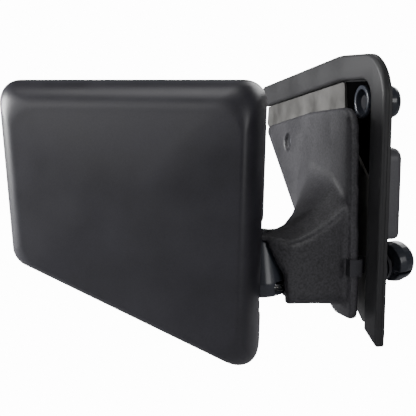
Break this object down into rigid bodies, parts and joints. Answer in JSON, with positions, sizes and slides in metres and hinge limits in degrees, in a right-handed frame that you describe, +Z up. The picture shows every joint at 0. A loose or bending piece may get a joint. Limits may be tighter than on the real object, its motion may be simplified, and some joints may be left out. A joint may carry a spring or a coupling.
{
  "type": "door mirror",
  "caption": "Left-hand outside mirror for a pick-up truck: sail base, hollow arm, break-away head and cable-adjusted glass worked by an inside lever.",
  "frame": {"origin": "on the sealing face against the door, in the middle of the upright front rail's height", "axes": "+X inboard to the cabin, +Y to the rear of the vehicle, +Z up"},
  "size_m": [0.2879, 0.2635, 0.2112],
  "materials": {
    "shell_plastic": "fine satin grain on moulded black ABS",
    "textured_cast": "coarse textured black powder coat on die-cast alloy",
    "frame_plastic": "smooth matte moulded trim",
    "gloss_plastic": "smooth black nylon",
    "inner_plastic": "plain black moulding",
    "zinc_steel": "bright zinc plate",
    "dark_steel": "dark phosphate coat",
    "black_rubber": "closed-cell foam and rubber",
    "silvered_glass": "silvered on the back face",
    "cable_sheath": "extruded cable jacket"
  },
  "bodies": {
    "base": {"sail_frame": "frame_plastic", "door_gasket": "black_rubber", "base_plate": "zinc_steel", "inner_carrier": "inner_plastic", "upper_boss": "gloss_plastic", "upper_bolt": "dark_steel", "arm_bracket": "textured_cast", "cover_screw": "dark_steel", "edge_clip": "dark_steel", "control_box": "gloss_plastic", "lever_housing": "gloss_plastic", "pivot_post": "dark_steel", "pivot_spring": "dark_steel", "pivot_washer": "dark_steel", "pivot_nut": "dark_steel", "door_stud_1": "dark_steel", "door_stud_2": "dark_steel", "door_stud_3": "dark_steel", "bracket_screw_1": "dark_steel", "bracket_screw_2": "dark_steel", "bracket_screw_3": "dark_steel", "arm_cable": "cable_sheath"},
    "head": {"head_shell": "shell_plastic", "bezel": "inner_plastic", "neck_knuckle": "gloss_plastic", "knuckle_cap": "gloss_plastic", "head_frame": "inner_plastic", "adjuster_base": "inner_plastic", "shell_screw_1": "dark_steel", "shell_screw_2": "dark_steel", "shell_screw_3": "dark_steel", "shell_screw_4": "dark_steel", "head_cable": "cable_sheath"},
    "pan_ring": {"glass_gimbal": "zinc_steel"},
    "glass": {"glass_carrier": "inner_plastic", "adhesive_pad": "black_rubber", "mirror_glass": "silvered_glass"},
    "lever_ring": {"lever_gimbal": "dark_steel"},
    "lever": {"lever_shaft": "dark_steel", "lever_knob": "gloss_plastic"}
  },
  "joints": [
    {"name": "head_fold", "type": "hinge", "parent": "base", "child": "head", "pos_m": [-0.0792, 0.0283, -0.037], "axis": [0, 0, 1], "range_deg": [-60, 35]},
    {"name": "glass_pan", "type": "hinge", "parent": "head", "child": "pan_ring", "pos_m": [-0.15959, 0.06695, 0.014], "axis": [0, 0, 1], "range_deg": [-8, 8]},
    {"name": "glass_tilt", "type": "hinge", "parent": "pan_ring", "child": "glass", "pos_m": [-0.15959, 0.06695, 0.014], "axis": [-0.8988, 0.4384, 0], "range_deg": [-8, 8]},
    {"name": "lever_pan", "type": "hinge", "parent": "base", "child": "lever_ring", "pos_m": [0.01, 0.022, -0.041], "axis": [0, 0, 1], "range_deg": [-10, 10]},
    {"name": "lever_tilt", "type": "hinge", "parent": "lever_ring", "child": "lever", "pos_m": [0.01, 0.022, -0.041], "axis": [-0.342, 0.9397, 0], "range_deg": [-10, 10]}
  ],
  "couplings": [
    {"joint": "glass_pan", "follows": "lever_pan", "ratio": 0.8},
    {"joint": "glass_tilt", "follows": "lever_tilt", "ratio": 0.8}
  ]
}
